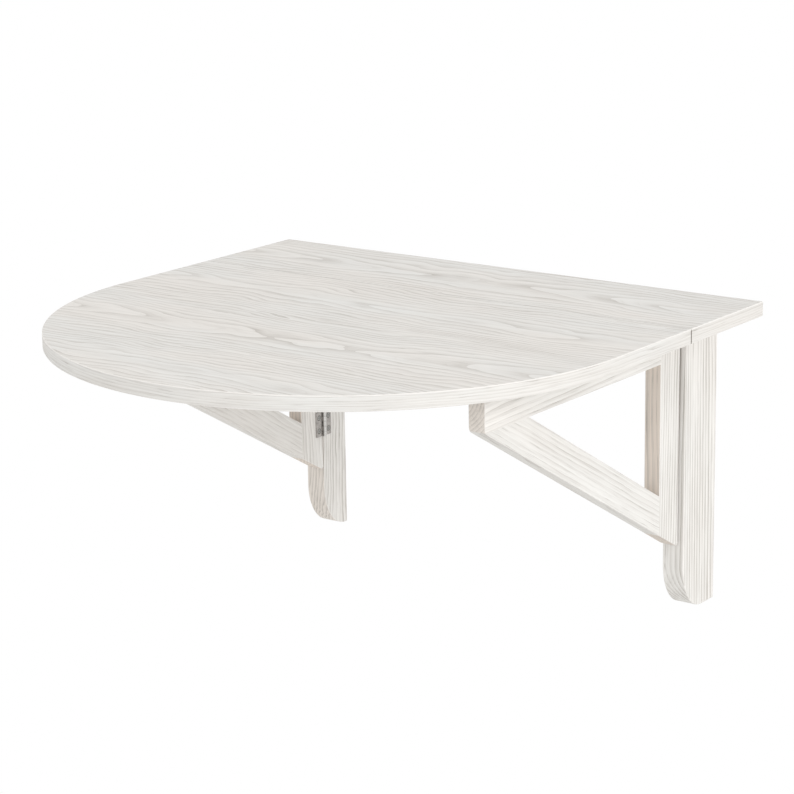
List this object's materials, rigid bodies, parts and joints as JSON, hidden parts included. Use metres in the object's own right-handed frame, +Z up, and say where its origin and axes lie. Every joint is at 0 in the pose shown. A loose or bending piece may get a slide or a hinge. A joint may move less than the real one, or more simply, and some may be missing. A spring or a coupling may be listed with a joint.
{
  "type": "wall drop leaf table",
  "caption": "Wall-mounted drop-leaf table: fixed shelf, round-ended hinged leaf, two uprights and two triangular swing-out brackets, in limed wood",
  "frame": {"origin": "centre of the four wall screw holes, on the wall face", "axes": "X along the wall, +Y into the wall, +Z up; the table reaches out to -Y"},
  "size_m": [0.8, 0.7659, 0.424],
  "materials": {
    "board_wood": "limed, matte",
    "frame_wood": "limed, matte",
    "dowel_wood": "plain",
    "pad_felt": "pressed felt",
    "hinge_steel": "zinc plated",
    "pin_steel": "zinc plated",
    "screw_steel": "zinc plated"
  },
  "bodies": {
    "wall_frame": {"hinge_left_lower_fixed_leaf": "hinge_steel", "hinge_left_lower_pin": "pin_steel", "hinge_left_upper_fixed_leaf": "hinge_steel", "hinge_left_upper_pin": "pin_steel", "hinge_right_lower_fixed_leaf": "hinge_steel", "hinge_right_lower_pin": "pin_steel", "hinge_right_upper_fixed_leaf": "hinge_steel", "hinge_right_upper_pin": "pin_steel", "hinge_screws_upright_left": "screw_steel", "hinge_screws_upright_right": "screw_steel", "seam_hinge_left_pin": "pin_steel", "seam_hinge_left_shelf_leaf": "hinge_steel", "seam_hinge_middle_pin": "pin_steel", "seam_hinge_middle_shelf_leaf": "hinge_steel", "seam_hinge_right_pin": "pin_steel", "seam_hinge_right_shelf_leaf": "hinge_steel", "seam_screws_shelf": "screw_steel", "shelf_board": "board_wood", "shelf_dowels": "dowel_wood", "upright_left": "frame_wood", "upright_right": "frame_wood"},
    "drop_leaf": {"leaf_board": "board_wood", "seam_hinge_left_drop_leaf": "hinge_steel", "seam_hinge_middle_drop_leaf": "hinge_steel", "seam_hinge_right_drop_leaf": "hinge_steel", "seam_screws_leaf": "screw_steel"},
    "bracket_left": {"bracket_left_brace": "frame_wood", "bracket_left_dowels": "dowel_wood", "bracket_left_rail": "frame_wood", "bracket_left_rest_pad": "pad_felt", "bracket_left_stile": "frame_wood", "hinge_left_lower_swing_leaf": "hinge_steel", "hinge_left_upper_swing_leaf": "hinge_steel", "hinge_screws_bracket_left": "screw_steel"},
    "bracket_right": {"bracket_right_brace": "frame_wood", "bracket_right_dowels": "dowel_wood", "bracket_right_rail": "frame_wood", "bracket_right_rest_pad": "pad_felt", "bracket_right_stile": "frame_wood", "hinge_right_lower_swing_leaf": "hinge_steel", "hinge_right_upper_swing_leaf": "hinge_steel", "hinge_screws_bracket_right": "screw_steel"}
  },
  "joints": [
    {"name": "leaf_hinge", "type": "hinge", "parent": "wall_frame", "child": "drop_leaf", "pos_m": [0, -0.1876, 0.187], "axis": [-1, 0, 0], "range_deg": [0, 2]},
    {"name": "bracket_left_swing", "type": "hinge", "parent": "wall_frame", "child": "bracket_left", "pos_m": [-0.297, -0.05325, 0], "axis": [0, 0, 1], "range_deg": [0, 90]},
    {"name": "bracket_right_swing", "type": "hinge", "parent": "wall_frame", "child": "bracket_right", "pos_m": [0.297, -0.08275, 0], "axis": [0, 0, -1], "range_deg": [0, 90]}
  ]
}
